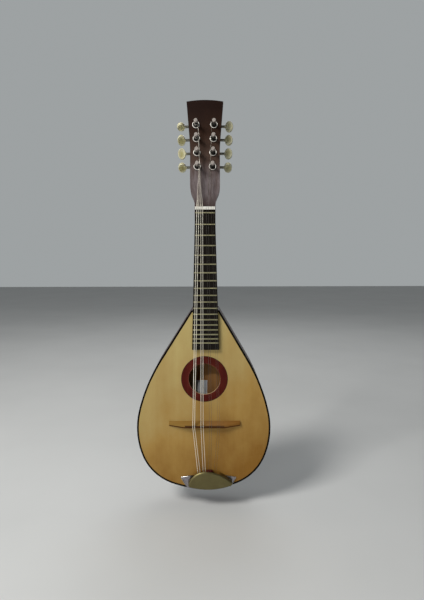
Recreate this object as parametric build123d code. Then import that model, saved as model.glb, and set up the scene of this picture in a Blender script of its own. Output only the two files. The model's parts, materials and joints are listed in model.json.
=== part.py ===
from build123d import *
import os
from math import asin, atan2, cos, degrees, pi, radians, sin

# Teardrop-bodied flat-back mandolin, in millimetres.
# +Z runs up the neck, +X to the treble side, and the front faces -Y.
# The origin is on the centre line, at the zero fret, in the plane of the soundboard's front face.

# ---------------------------------------------------------------- scale and fretboard
SCALE_LENGTH = 328.0
FRET_COUNT = 18
BOARD_THICKNESS = 5.0
BOARD_END_Z = -223.6
BOARD_TOP_Z = 5.0
BOARD_HALF_WIDTH = 16.2
BOARD_TAPER = 0.0281
FRET_RADIUS = 1.05
FRET_INSET = 0.9
TANG_THICKNESS = 0.5
TANG_DEPTH = 1.5
NUT_THICKNESS = 4.6
NUT_HEIGHT = 7.4

# ---------------------------------------------------------------- body
TAIL_Z = -467.7
JOINT_Z = -158.5
BOUT_ARCS = ((158.0, 20.0), (85.0, 48.7), (134.0, 34.5), (303.0, 18.0))
# The box is not quite true to the neck: its own axis leans to the bass at the tail.
BODY_LEAN = 1.05
TOP_THICKNESS = 3.0
RIB_DEPTH = 58.0
BACK_THICKNESS = 3.0
RIB_THICKNESS = 2.2
LINING_WIDTH = 6.0
LINING_DEPTH = 8.0
NECK_BLOCK_END_Z = -200.0
TAIL_BLOCK_START_Z = -450.0
BRACE_WIDTH = 8.0
TOP_BRACE_DEPTH = 12.0
BACK_BRACE_DEPTH = 10.0
TOP_BRACE_Z = (-228.0, -322.0, -400.0)
BACK_BRACE_Z = (-235.0, -325.0, -405.0)
RIB_BACK_Y = TOP_THICKNESS + RIB_DEPTH
BODY_BACK_Y = RIB_BACK_Y + BACK_THICKNESS

# ---------------------------------------------------------------- soundhole
HOLE_Z = -274.3
HOLE_RADIUS = 26.7
ROSETTE_RADIUS = 39.2
ROSETTE_THICKNESS = 1.2
ROSETTE_INLAY = 1.0
LABEL_X = -5.5
LABEL_Z = -319.0
LABEL_WIDTH = 20.0
LABEL_HEIGHT = 50.0
LABEL_THICKNESS = 0.4

# ---------------------------------------------------------------- neck and headstock
NECK_DEPTH_NUT = 16.5
NECK_DEPTH_BODY = 21.0
NECK_BLEND_Z = -22.0
HEEL_DEPTH = 60.0
TENON_WIDTH = 18.0
TENON_LENGTH = 26.0
TENON_DEPTH = 48.0
HEAD_TILT = 10.1
HEAD_START_Y = -2.0
HEAD_START_Z = 5.0
CORE_THICKNESS = 12.0
VENEER_THICKNESS = 2.0
HEAD_THICKNESS = CORE_THICKNESS + VENEER_THICKNESS
HEAD_LENGTH = 184.6
HEAD_CORNER = 181.8
HEAD_TOP_HALF = 30.3

# ---------------------------------------------------------------- tuners
# Local axes of a tuner: x outboard, y up the head, z towards the head's face, from the head's back.
TUNER_COUNT = 4
TUNER_PITCH = 23.5
FIRST_POST_UP = 71.2
FIRST_POST_OUT = 12.4
ROW_SLANT = 1.87
POST_RADIUS = 3.0
POST_WAIST = 2.3
POST_TIP = 31.4
POST_HOLE_RADIUS = 3.4
FERRULE_BORE = 3.08
FERRULE_RADIUS = 4.2
FERRULE_COLLAR = 6.0
FERRULE_SLEEVE_BASE = 6.0
PLATE_THICKNESS = 1.0
PLATE_BORE = 3.06
PLATE_INNER = -7.5
PLATE_OUTER = 8.0
PLATE_LOW = -13.0
PLATE_SCREW_OFFSETS = (-9.2, 14.2, 37.7, 61.2, 84.7)
GEAR_TEETH = 14
GEAR_RADIUS = 5.2
GEAR_FRONT = -2.6
GEAR_WIDTH = 3.2
WORM_UP = 6.85
WORM_Z = -4.2
WORM_LEAD = 2.04
WORM_PITCH_RADIUS = 2.3
WORM_OUTER = 2.9
WORM_TURNS = 3.0
SHAFT_RADIUS = 1.5
SHAFT_BORE = 1.57
SHAFT_INNER_END = -6.0
SHAFT_OUTER_END = 26.6
SHAFT_COLLAR_START = 8.6
SHAFT_COLLAR_RADIUS = 2.2
EAR_INNER = 4.4
EAR_THICKNESS = 1.1
EAR_LOW = 3.6
EAR_HIGH = 10.1
EAR_TIP_Z = -7.3
BUTTON_START = 18.8
BUTTON_LENGTH = 13.3
BUTTON_WIDTH = 18.4
BUTTON_THICKNESS = 5.5
BUTTON_STEM_RADIUS = 2.6
BUTTON_STEM_REACH = 0.8
# How far each button is turned about its shaft, lowest first.
BUTTON_TURNS = {
    "right": (58.0, 4.0, -6.0, 8.0),
    "left": (62.0, 15.0, 50.0, 80.0),
}

# ---------------------------------------------------------------- bridge
BRIDGE_Z = -353.2
BRIDGE_X = -2.1
BRIDGE_LENGTH = 120.0
BRIDGE_FLAT = 68.0
BRIDGE_HEIGHT = 8.8
BRIDGE_TIP_HEIGHT = 4.0
BRIDGE_REACH = 6.4
BRIDGE_TIP_REACH = 4.2
BRIDGE_EDGE = 0.9
BRIDGE_CREST = 10.2
SADDLE_LENGTH = 66.0
SADDLE_THICKNESS = 2.2
SADDLE_DEPTH = 3.0
BRIDGE_GAP = 0.05

# ---------------------------------------------------------------- tailpiece
TAILPIECE_X = 4.0
TAILPLATE_THICKNESS = 1.0
PLATE_WING_X = 47.5
HOOK_CENTRE_X = 1.8
HOOK_PITCH = 4.0
HOOK_Z = -455.0
HOOK_HEIGHT = 6.0
FLANGE_HALF_WIDTH = 15.0
FLANGE_LENGTH = 32.0
# The cover is a pressed pan, seated a little to the treble side, with a mouth for the strings.
COVER_BASS_X = -30.2
COVER_TREBLE_X = 44.8
COVER_BASS_EDGE = (-460.0, -452.5)
COVER_TREBLE_EDGE = (-457.0, -452.0)
COVER_PEAK = (-1.5, -432.8)
COVER_TAIL = (-3.0, -464.9)
COVER_HEIGHT = 10.4
COVER_LIFT = 1.3
COVER_WALL = 1.2
COVER_ROUNDING = 3.2
COVER_CORNER = 3.6
MOUTH_BASS_X = -26.0
MOUTH_TREBLE_X = 24.0
MOUTH_HEIGHT = 8.2
SCALLOP_COUNT = 7
SCALLOP_PITCH = 6.2
SCALLOP_RADIUS = 2.0
SCALLOP_DEPTH = 0.7

# ---------------------------------------------------------------- strings, bass to treble
STRING_RADII = (0.5, 0.5, 0.42, 0.42, 0.2, 0.2, 0.15, 0.15)
NUT_X = (-13.0, -9.8, -6.6, -3.6, 2.2, 5.2, 10.0, 13.0)
CREST_X = (-21.9, -18.8, -8.2, -4.4, 6.1, 9.6, 20.4, 23.6)
POST_OF_STRING = (3, 2, 1, 0, 0, 1, 2, 3)
WINDING_HEIGHT = (25.2, 24.4, 23.4, 21.9)
# How far from the centre line a string passes each lower post, for the string that ends on each post.
PASSING_X = ((), (7.6,), (8.3, 9.2), (9.4, 8.4, 9.6))
STRING_GAP = 0.05
CREST_GAP = 0.15
STRING_BEND = 5.0
NUT_SLOT_Y = BOARD_THICKNESS + FRET_RADIUS - 0.1
HEIGHT_AT_NUT = 18.7

# The box's own axis in the drawing plane, where x is across and y is up the neck.
BODY_PLACE = Pos(0, JOINT_Z) * Rot(0, 0, -BODY_LEAN) * Pos(0, -JOINT_Z)

HEAD_PLANE = Plane(
    origin=(
        0,
        HEAD_START_Y + HEAD_THICKNESS * cos(radians(HEAD_TILT)),
        HEAD_START_Z - HEAD_THICKNESS * sin(radians(HEAD_TILT)),
    ),
    x_dir=(1, 0, 0),
    z_dir=(0, -cos(radians(HEAD_TILT)), sin(radians(HEAD_TILT))),
)
TUNER_ROW = HEAD_PLANE.location * Location((FIRST_POST_OUT, FIRST_POST_UP, 0), (0, 0, -ROW_SLANT))


# ---------------------------------------------------------------- helpers
def slab(shape, y_front, y_back):
    """Prism of a drawing in the XZ plane, from y_front to y_back."""
    return extrude(Plane.XZ.offset(-y_back) * shape, amount=y_back - y_front)


def span_box(low, high):
    """Box between two opposite corners."""
    size = [b - a for a, b in zip(low, high)]
    middle = [(a + b) / 2 for a, b in zip(low, high)]
    return Pos(*middle) * Box(*size)


def rod(start, end, radius):
    """Cylinder between two points."""
    run = Vector(end) - Vector(start)
    base = Plane(origin=start, z_dir=run)
    return base * Cylinder(radius, run.length, align=(Align.CENTER, Align.CENTER, Align.MIN))


def upright(radius, low, high):
    """Cylinder about the local z axis."""
    return Pos(0, 0, low) * Cylinder(radius, high - low, align=(Align.CENTER, Align.CENTER, Align.MIN))


def body_outline(inset):
    """The teardrop outline, moved inwards by inset: four tangent arcs and a straight flank a side.

    The flanks run on past the neck joint, where a line square to the neck cuts them off.
    """
    point = Vector(0, TAIL_Z + inset)
    heading = Vector(1, 0)
    half = Curve()
    for radius, turn in BOUT_ARCS:
        arc = JernArc(point, heading, radius - inset, turn)
        half += arc
        point = arc @ 1
        heading = arc % 1
    shoulder = point + heading * ((JOINT_Z + 10 - point.Y) / heading.Y)
    half += Line(point, shoulder)
    top = Line(shoulder, (-shoulder.X, shoulder.Y))
    whole = BODY_PLACE * make_face(half + mirror(half, Plane.YZ) + top)
    return whole & Pos(0, JOINT_Z - inset - 250) * Rectangle(500, 500)


def board_half_width(z):
    return BOARD_HALF_WIDTH - BOARD_TAPER * z


def fret_z(number):
    return -SCALE_LENGTH * (1 - 2 ** (-number / 12))


def head_point(x, up, height):
    """Point above the head's back face, in the model's frame."""
    return HEAD_PLANE.from_local_coords(Vector(x, up, height))


def both_sides(shape):
    return [shape, mirror(shape, Plane.YZ)]


def save(node, shape):
    solids = shape if isinstance(shape, list) else [shape]
    flat = [solid for item in solids for solid in item.solids()]
    export_step(Compound(children=flat) if len(flat) > 1 else flat[0], f"parts/{node}.step")


# ---------------------------------------------------------------- sound box
def soundboard():
    plate = slab(body_outline(RIB_THICKNESS), 0, TOP_THICKNESS)
    centre = BODY_PLACE * Pos(0, HOLE_Z)
    hole = slab(centre * Circle(HOLE_RADIUS), 0, TOP_THICKNESS)
    recess = slab(centre * Circle(ROSETTE_RADIUS), 0, ROSETTE_INLAY)
    return plate - hole - recess


def rosette_ring():
    ring = Circle(ROSETTE_RADIUS) - Circle(HOLE_RADIUS)
    return slab(BODY_PLACE * Pos(0, HOLE_Z) * ring, ROSETTE_INLAY - ROSETTE_THICKNESS, ROSETTE_INLAY)


def rim_band(outer_inset, inner_inset, y_front, y_back):
    return slab(body_outline(outer_inset) - body_outline(inner_inset), y_front, y_back)


def tenon():
    return span_box(
        (-TENON_WIDTH / 2, TOP_THICKNESS, JOINT_Z - TENON_LENGTH),
        (TENON_WIDTH / 2, TOP_THICKNESS + TENON_DEPTH, JOINT_Z),
    )


def ribs():
    band = rim_band(0, RIB_THICKNESS, TOP_THICKNESS, RIB_BACK_Y)
    return band - tenon() - tailpiece_screws()


def side(sign):
    reach = 300
    half = BODY_PLACE * Pos(sign * reach, TAIL_Z) * Rectangle(2 * reach, 4 * reach)
    return ribs() & slab(half, 0, RIB_BACK_Y)


def across(z_low, z_high):
    """Everything between two heights."""
    return span_box((-200, -100, z_low), (200, 100, z_high))


def linings():
    band = body_outline(RIB_THICKNESS) - body_outline(RIB_THICKNESS + LINING_WIDTH)
    gap = across(TAIL_BLOCK_START_Z, NECK_BLOCK_END_Z)
    top = slab(band, TOP_THICKNESS, TOP_THICKNESS + LINING_DEPTH) & gap
    back = slab(band, RIB_BACK_Y - LINING_DEPTH, RIB_BACK_Y) & gap
    return [top, back]


def bindings():
    top = rim_band(0, RIB_THICKNESS, 0, TOP_THICKNESS)
    back = rim_band(0, RIB_THICKNESS, RIB_BACK_Y, BODY_BACK_Y)
    return [top, back]


def neck_block():
    inside = slab(body_outline(RIB_THICKNESS), TOP_THICKNESS, RIB_BACK_Y)
    return (inside & across(NECK_BLOCK_END_Z, 0)) - tenon()


def tail_block():
    inside = slab(body_outline(RIB_THICKNESS), TOP_THICKNESS, RIB_BACK_Y)
    return (inside & across(2 * TAIL_Z, TAIL_BLOCK_START_Z)) - tailpiece_screws()


def braces(heights, y_front, y_back):
    room = slab(body_outline(RIB_THICKNESS + LINING_WIDTH), y_front, y_back)
    return [room & across(z - BRACE_WIDTH / 2, z + BRACE_WIDTH / 2) for z in heights]


def inner_label():
    paper = BODY_PLACE * Pos(LABEL_X, LABEL_Z) * Rectangle(LABEL_WIDTH, LABEL_HEIGHT)
    sheet = slab(paper, RIB_BACK_Y - LABEL_THICKNESS, RIB_BACK_Y)
    return sheet - braces(BACK_BRACE_Z, RIB_BACK_Y - BACK_BRACE_DEPTH, RIB_BACK_Y)


# ---------------------------------------------------------------- neck
def neck_section(plane, half_width, depth, power):
    """Flat-fronted section, rounded behind: power 2 is a half ellipse, more is squarer."""
    steps = 12
    curve = []
    for step in range(1, steps):
        angle = pi * step / steps
        across_part = abs(cos(angle)) ** (2 / power) * half_width
        back_part = abs(sin(angle)) ** (2 / power) * depth
        curve.append((across_part if angle < pi / 2 else -across_part, -back_part))
    points = [(half_width, 0)] + curve + [(-half_width, 0)]
    front = Line((-half_width, 0), (half_width, 0))
    return plane * make_face(Spline(*points) + front)


def level_plane(z):
    """Section plane across the neck: local y points to the front."""
    return Plane(origin=(0, 0, z), x_dir=(1, 0, 0), z_dir=(0, 0, -1))


def heel_section(y, half_width, length):
    half = Pos(0, JOINT_Z) * (Ellipse(half_width, length) & Pos(0, length) * Rectangle(200, 2 * length))
    return Plane.XZ.offset(-y) * half


def head_outline():
    shoulder = Spline((16.8, 10), (22.6, 29), (24.3, 46), tangents=((0.02, 1), (0, 1)))
    flare = Spline((24.3, 94), (26.7, 137), (HEAD_TOP_HALF, HEAD_CORNER), tangents=((0, 1), (0.08, 1)))
    half = Line((16.4, 0), (16.8, 10)) + shoulder + Line((24.3, 46), (24.3, 94)) + flare
    top = ThreePointArc((-HEAD_TOP_HALF, HEAD_CORNER), (0, HEAD_LENGTH), (HEAD_TOP_HALF, HEAD_CORNER))
    bottom = Line((-16.4, 0), (16.4, 0))
    return make_face(half + mirror(half, Plane.YZ) + top + bottom)


def tuner_place(index):
    return TUNER_ROW * Location((0, index * TUNER_PITCH, 0))


def head_cuts():
    """Post holes and plate screw holes, both sides."""
    cuts = []
    for index in range(TUNER_COUNT):
        hole = upright(POST_HOLE_RADIUS, -1, HEAD_THICKNESS + 1)
        sleeve = upright(FERRULE_RADIUS, FERRULE_SLEEVE_BASE, HEAD_THICKNESS + 1)
        cuts += both_sides(tuner_place(index) * (hole + sleeve))
    for hole in plate_screw_shanks():
        cuts += both_sides(hole)
    return cuts


def neck():
    nut_back = BOARD_TOP_Z + NUT_THICKNESS
    wide = neck_section(level_plane(JOINT_Z), board_half_width(JOINT_Z), NECK_DEPTH_BODY, 2)
    slim = neck_section(level_plane(NECK_BLEND_Z), board_half_width(NECK_BLEND_Z), NECK_DEPTH_NUT, 2)
    shaft = loft([wide, slim], ruled=True)
    core_front = HEAD_PLANE.location * Location((0, 0, CORE_THICKNESS))
    root_plane = Plane(core_front * Location((0, 12, 0), (90, 0, 0)))
    root = neck_section(root_plane, 16.9, CORE_THICKNESS, 7)
    blend = loft([slim, root], ruled=True)
    under_nut = span_box((-16, 0, NECK_BLEND_Z), (16, 7, nut_back))
    heel = loft([
        heel_section(3, 20.0, 52),
        heel_section(22, 18.6, 34),
        heel_section(HEEL_DEPTH, 13.5, 15),
    ])
    core = HEAD_PLANE * extrude(head_outline(), amount=CORE_THICKNESS)
    clear_front = span_box((-40, -40, JOINT_Z - 5), (40, 0, nut_back))
    whole = shaft + blend + under_nut + heel + core + tenon()
    return whole - clear_front - head_cuts()


def headstock_veneer():
    sheet = HEAD_PLANE * (Pos(0, 0, CORE_THICKNESS) * extrude(head_outline(), amount=VENEER_THICKNESS))
    nut_side = span_box((-40, -40, -20), (40, 40, BOARD_TOP_Z + NUT_THICKNESS))
    return sheet - nut_side - head_cuts()


# ---------------------------------------------------------------- fretboard
def fret_tang(number):
    reach = board_half_width(fret_z(number)) - FRET_INSET
    z = fret_z(number)
    return span_box(
        (-reach, -BOARD_THICKNESS, z - TANG_THICKNESS / 2),
        (reach, -BOARD_THICKNESS + TANG_DEPTH, z + TANG_THICKNESS / 2),
    )


def fretboard():
    top = board_half_width(BOARD_TOP_Z)
    end = board_half_width(BOARD_END_Z)
    plan = Polygon(
        (-top, BOARD_TOP_Z), (-end, BOARD_END_Z), (end, BOARD_END_Z), (top, BOARD_TOP_Z), align=None
    )
    board = slab(plan, -BOARD_THICKNESS, 0)
    return board - [fret_tang(number) for number in range(FRET_COUNT + 1)]


def fret_wires():
    wires = []
    for number in range(FRET_COUNT + 1):
        z = fret_z(number)
        reach = board_half_width(z) - FRET_INSET
        crown = rod((-reach, -BOARD_THICKNESS, z), (reach, -BOARD_THICKNESS, z), FRET_RADIUS)
        upper = crown & span_box((-50, -20, z - 5), (50, -BOARD_THICKNESS, z + 5))
        wires.append(upper + fret_tang(number))
    return wires


def nut():
    half = board_half_width(BOARD_TOP_Z)
    block = span_box((-half, -NUT_HEIGHT, BOARD_TOP_Z), (half, 0, BOARD_TOP_Z + NUT_THICKNESS))
    slots = [string(index, STRING_GAP) for index in range(len(STRING_RADII))]
    mouths = [span_box((x - radius, -20, 0), (x + radius, -NUT_SLOT_Y, 20))
              for x, radius in zip(NUT_X, STRING_RADII)]
    return block - slots - mouths


# ---------------------------------------------------------------- tuners
def thread():
    """Worm thread about local x, with its middle turn facing the gear at x = 0."""
    length = WORM_TURNS * WORM_LEAD
    helix = Helix(pitch=WORM_LEAD, height=length, radius=WORM_PITCH_RADIUS)
    start = Plane(origin=helix @ 0, x_dir=(1, 0, 0), z_dir=helix % 0)
    root = SHAFT_RADIUS - 0.15 - WORM_PITCH_RADIUS
    tip = WORM_OUTER - WORM_PITCH_RADIUS
    profile = start * Polygon((root, -0.72), (tip, -0.24), (tip, 0.24), (root, 0.72), align=None)
    ridge = sweep(profile, path=helix, is_frenet=True)
    half_turned = Rot(0, 0, 180) * Pos(0, 0, -length / 2) * ridge
    axis = Plane(origin=(0, WORM_UP, WORM_Z), x_dir=(0, -1, 0), z_dir=(1, 0, 0))
    return axis * half_turned


def worm_shaft():
    core = rod((SHAFT_INNER_END, WORM_UP, WORM_Z), (SHAFT_OUTER_END, WORM_UP, WORM_Z), SHAFT_RADIUS)
    collar_end = BUTTON_START - BUTTON_STEM_REACH
    collar = rod((SHAFT_COLLAR_START, WORM_UP, WORM_Z), (collar_end, WORM_UP, WORM_Z), SHAFT_COLLAR_RADIUS)
    return core + collar + thread()


def gear_gash(index):
    """Tooth space, leaning by the worm's lead angle."""
    lean = degrees(atan2(WORM_LEAD, 2 * pi * WORM_PITCH_RADIUS))
    space = Polygon((-0.42, 3.7), (-0.98, 5.6), (0.98, 5.6), (0.42, 3.7), align=None)
    prism = extrude(space, amount=GEAR_WIDTH, both=True)
    middle = Pos(0, 0, WORM_Z)
    return Rot(0, 0, 360 / GEAR_TEETH * index) * middle * Rot(0, -lean, 0) * prism


def worm_gear():
    blank = upright(GEAR_RADIUS, GEAR_FRONT - GEAR_WIDTH, GEAR_FRONT)
    wheel = blank - [gear_gash(index) for index in range(GEAR_TEETH)] - gear_screw()
    return [wheel, gear_screw()]


def gear_screw():
    back = GEAR_FRONT - GEAR_WIDTH
    head = upright(2.7, back - 1.3, back) - Pos(0, 0, back - 1.3) * Box(0.7, 6, 1.2)
    return head + upright(1.45, back, 1.0)


def string_post(winding_height):
    profile = Polygon(
        (0, GEAR_FRONT),
        (POST_RADIUS + 0.5, GEAR_FRONT),
        (POST_RADIUS + 0.5, -1.2),
        (POST_RADIUS, -1.2),
        (POST_RADIUS, 18),
        (POST_WAIST, 19.2),
        (POST_WAIST, 26),
        (POST_RADIUS, 27),
        (POST_RADIUS, POST_TIP - 0.6),
        (POST_RADIUS - 0.6, POST_TIP),
        (0, POST_TIP),
        align=None,
    )
    post = revolve(Plane.XZ * profile, axis=Axis.Z)
    cross_hole = rod((0, -5, winding_height), (0, 5, winding_height), 0.7)
    return post - gear_screw() - cross_hole


def tuner_button(turn):
    """Oval button, turned about its shaft to where it was left after tuning."""
    middle = BUTTON_START + BUTTON_LENGTH / 2
    oval = extrude(Ellipse(BUTTON_LENGTH / 2, BUTTON_WIDTH / 2), amount=BUTTON_THICKNESS / 2, both=True)
    disc = fillet(oval.edges(), BUTTON_THICKNESS * 0.38)
    at_axis = Pos(middle, 0, 0) * disc
    stem = rod((BUTTON_START - BUTTON_STEM_REACH, 0, 0), (BUTTON_START + 3, 0, 0), BUTTON_STEM_RADIUS)
    solid = Rot(turn, 0, 0) * (at_axis + stem)
    placed = Pos(0, WORM_UP, WORM_Z) * solid
    return placed - rod((0, WORM_UP, WORM_Z), (SHAFT_OUTER_END, WORM_UP, WORM_Z), SHAFT_RADIUS)


def plate_screw_shanks():
    return [TUNER_ROW * (Pos(0, offset, 0) * upright(1.1, -PLATE_THICKNESS, 9))
            for offset in PLATE_SCREW_OFFSETS]


def tuner_plate():
    """One side's base plate, in the model's frame: a strip with two ears for each worm."""
    high = (TUNER_COUNT - 1) * TUNER_PITCH - PLATE_LOW + 6
    plate = span_box((PLATE_INNER, PLATE_LOW, -PLATE_THICKNESS), (PLATE_OUTER, high, 0))
    for index in range(TUNER_COUNT):
        shift = index * TUNER_PITCH
        for inner in (-EAR_INNER - EAR_THICKNESS, EAR_INNER):
            plate += span_box(
                (inner, shift + EAR_LOW, EAR_TIP_Z),
                (inner + EAR_THICKNESS, shift + EAR_HIGH, 0),
            )
        up = shift + WORM_UP
        plate -= rod((-20, up, WORM_Z), (20, up, WORM_Z), SHAFT_BORE)
        plate -= Pos(0, shift, 0) * upright(PLATE_BORE, -2, 1)
    return TUNER_ROW * plate - plate_screw_shanks()


def tuner_plate_screws():
    screws = []
    for offset, shank in zip(PLATE_SCREW_OFFSETS, plate_screw_shanks()):
        head = upright(2.2, -PLATE_THICKNESS - 1.2, -PLATE_THICKNESS)
        slot = Pos(0, 0, -PLATE_THICKNESS - 1.2) * Box(0.6, 5, 1.0)
        screws += both_sides(TUNER_ROW * (Pos(0, offset, 0) * (head - slot)) + shank)
    return screws


def post_ferrules():
    sleeve = upright(FERRULE_RADIUS, FERRULE_SLEEVE_BASE, HEAD_THICKNESS)
    collar = upright(FERRULE_COLLAR, HEAD_THICKNESS, HEAD_THICKNESS + 1.6)
    rim = fillet((sleeve + collar).edges().group_by(Axis.Z)[-1], 0.6)
    ferrule = rim - upright(FERRULE_BORE, 0, 20)
    return [item for index in range(TUNER_COUNT) for item in both_sides(tuner_place(index) * ferrule)]


# ---------------------------------------------------------------- bridge
def bridge_section(x, reach, height, crest_z):
    """Cross-section at x: a low front and back edge, and two slopes up to a narrow crest."""
    front_up = Plane(origin=(x, 0, BRIDGE_Z), x_dir=(0, 0, 1), z_dir=(1, 0, 0))
    outline = Polygon(
        (crest_z - reach, BRIDGE_GAP),
        (crest_z + reach, BRIDGE_GAP),
        (crest_z + reach, BRIDGE_EDGE),
        (crest_z + 1.6, height),
        (crest_z - 1.2, height),
        (crest_z - reach, BRIDGE_EDGE),
        align=None,
    )
    return front_up * outline


def bridge_base():
    """Bar with a straight neck-side foot, a level middle and two ends that fall away."""
    flat = BRIDGE_FLAT / 2
    tip = BRIDGE_LENGTH / 2
    swept = BRIDGE_REACH - BRIDGE_TIP_REACH
    middle = [bridge_section(BRIDGE_X + x, BRIDGE_REACH, BRIDGE_HEIGHT, 0) for x in (-flat, flat)]
    bar = loft(middle, ruled=True)
    for sign, inner in zip((-1, 1), middle):
        end = bridge_section(BRIDGE_X + sign * tip, BRIDGE_TIP_REACH, BRIDGE_TIP_HEIGHT, swept)
        bar += loft([inner, end], ruled=True)
    return bar - saddle_block()


def saddle_block():
    return span_box(
        (BRIDGE_X - SADDLE_LENGTH / 2, -BRIDGE_CREST, BRIDGE_Z - SADDLE_THICKNESS / 2),
        (BRIDGE_X + SADDLE_LENGTH / 2, SADDLE_DEPTH - BRIDGE_HEIGHT, BRIDGE_Z + SADDLE_THICKNESS / 2),
    )


def bridge_saddle():
    block = saddle_block()
    crest = block.edges().filter_by(Axis.X).sort_by(Axis.Y)[:2]
    return chamfer(crest, 0.5)


# ---------------------------------------------------------------- tailpiece
def tailplate_plan():
    half = Polyline(
        (0, -443.2), (31.5, -443.2), (PLATE_WING_X, -446), (37.5, -463.6), (37.5, 2 * TAIL_Z), (0, 2 * TAIL_Z)
    )
    plan = make_face(half + mirror(half, Plane.YZ))
    return Pos(TAILPIECE_X, 0) * plan & body_outline(0)


def tail_screw_planes():
    """Where each tail screw enters: on the box's end, square to it and pointing inwards."""
    bottom_radius = BOUT_ARCS[0][0]
    centre = BODY_PLACE * Pos(0, TAIL_Z + bottom_radius)
    planes = []
    for x, y in ((TAILPIECE_X, 9.0), (TAILPIECE_X - 8, 24.0), (TAILPIECE_X + 8, 24.0)):
        lean = asin((x - centre.position.X) / bottom_radius)
        inward = Vector(-sin(lean), 0, cos(lean))
        surface = Vector(centre.position.X, y, centre.position.Y) - inward * bottom_radius
        planes.append(Plane(origin=surface, x_dir=(0, 1, 0), z_dir=inward))
    return planes


def tailpiece_screws():
    screws = []
    for entry in tail_screw_planes():
        shank = upright(1.5, -TAILPLATE_THICKNESS, 16)
        head = upright(3.1, -TAILPLATE_THICKNESS - 1.4, -TAILPLATE_THICKNESS)
        slot = Pos(0, 0, -TAILPLATE_THICKNESS - 1.4) * Box(0.8, 8, 1.4)
        screws.append(entry * (head - slot + shank))
    return screws


def tailpiece_plate():
    plate = slab(tailplate_plan(), -TAILPLATE_THICKNESS, 0)
    band = body_outline(-TAILPLATE_THICKNESS) - body_outline(0)
    flange_room = span_box(
        (TAILPIECE_X - FLANGE_HALF_WIDTH, -100, 2 * TAIL_Z),
        (TAILPIECE_X + FLANGE_HALF_WIDTH, 100, TAIL_BLOCK_START_Z),
    )
    flange = slab(band, -TAILPLATE_THICKNESS, FLANGE_LENGTH) & flange_room
    hooks = [hook(index) for index in range(len(STRING_RADII))]
    return plate + flange + hooks - tailpiece_screws()


def hook_x(index):
    return HOOK_CENTRE_X + (index - 3.5) * HOOK_PITCH


def hook(index):
    x = hook_x(index)
    stem = span_box((x - 1.1, -HOOK_HEIGHT, HOOK_Z - 1.6), (x + 1.1, 0, HOOK_Z))
    lip = span_box((x - 1.1, -HOOK_HEIGHT, HOOK_Z - 3.6), (x + 1.1, -HOOK_HEIGHT + 1.2, HOOK_Z))
    return stem + lip


def cover_tail_edge():
    return ThreePointArc((COVER_BASS_X, COVER_BASS_EDGE[0]), COVER_TAIL, (COVER_TREBLE_X, COVER_TREBLE_EDGE[0]))


def cover_plan():
    bass = Line((COVER_BASS_X, COVER_BASS_EDGE[0]), (COVER_BASS_X, COVER_BASS_EDGE[1]))
    treble = Line((COVER_TREBLE_X, COVER_TREBLE_EDGE[0]), (COVER_TREBLE_X, COVER_TREBLE_EDGE[1]))
    bass_brow = TangentArc(COVER_PEAK, (COVER_BASS_X, COVER_BASS_EDGE[1]), tangent=(-1, 0))
    treble_brow = TangentArc(COVER_PEAK, (COVER_TREBLE_X, COVER_TREBLE_EDGE[1]), tangent=(1, 0))
    plan = make_face(bass + bass_brow + treble_brow + treble + cover_tail_edge())
    corners = [corner for corner in plan.vertices() if corner.Y < COVER_PEAK[1] - 1]
    return fillet(corners, COVER_CORNER)


def cover_pan(inset):
    """The pan's outside, or its inside when inset."""
    plan = offset(cover_plan(), -inset) if inset else cover_plan()
    pan = slab(plan, inset - COVER_HEIGHT, 5)
    return fillet(pan.faces().sort_by(Axis.Y)[0].edges(), COVER_ROUNDING - inset)


def tailpiece_cover():
    room = span_box((-100, -20, -500), (100, -COVER_LIFT, -400))
    mouth = span_box((MOUTH_BASS_X, -MOUTH_HEIGHT, -448), (MOUTH_TREBLE_X, 0, -400))
    cap = ((cover_pan(0) - cover_pan(COVER_WALL)) & room) - mouth
    edge = cover_tail_edge()
    scallops = []
    for index in range(SCALLOP_COUNT):
        along = 0.5 + (index - (SCALLOP_COUNT - 1) / 2) * SCALLOP_PITCH / edge.length
        outward = Vector(0, 0, 1).cross(edge % along) * -1
        middle = edge @ along + outward * (SCALLOP_RADIUS - SCALLOP_DEPTH)
        scallops.append(rod((middle.X, -20, middle.Y), (middle.X, 5, middle.Y), SCALLOP_RADIUS))
    return cap - scallops


# ---------------------------------------------------------------- strings
def string_paths():
    """Corners of each string's centre line: hook, bridge crest, nut slot, and on to its post."""
    paths = []
    for index, radius in enumerate(STRING_RADII):
        side_sign = -1 if index < TUNER_COUNT else 1
        post = POST_OF_STRING[index]
        start = (hook_x(index), -HOOK_HEIGHT + 1.9 + radius, HOOK_Z + STRING_GAP)
        crest = (CREST_X[index], -BRIDGE_CREST - CREST_GAP - radius, BRIDGE_Z)
        over_nut = (NUT_X[index], -NUT_SLOT_Y - radius, BOARD_TOP_Z + NUT_THICKNESS / 2)
        slant = radians(ROW_SLANT)
        post_out = FIRST_POST_OUT + post * TUNER_PITCH * sin(slant)
        post_up = FIRST_POST_UP + post * TUNER_PITCH * cos(slant)
        reach = post_out - POST_WAIST - radius - STRING_GAP
        path = [start, crest, over_nut]
        for passed, x in enumerate(PASSING_X[post]):
            part_way = (passed + 3) / (post + 3)
            height = HEIGHT_AT_NUT + (WINDING_HEIGHT[post] - HEIGHT_AT_NUT) * part_way
            path.append(head_point(side_sign * x, FIRST_POST_UP + passed * TUNER_PITCH, height))
        path.append(head_point(side_sign * reach, post_up, WINDING_HEIGHT[post]))
        paths.append([Vector(point) for point in path])
    return paths


def string(index, clearance=0):
    """One string, or the room round it."""
    route = FilletPolyline(*string_paths()[index], radius=STRING_BEND)
    section = Plane(origin=route @ 0, z_dir=route % 0) * Circle(STRING_RADII[index] + clearance)
    return sweep(section, path=route)


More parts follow.
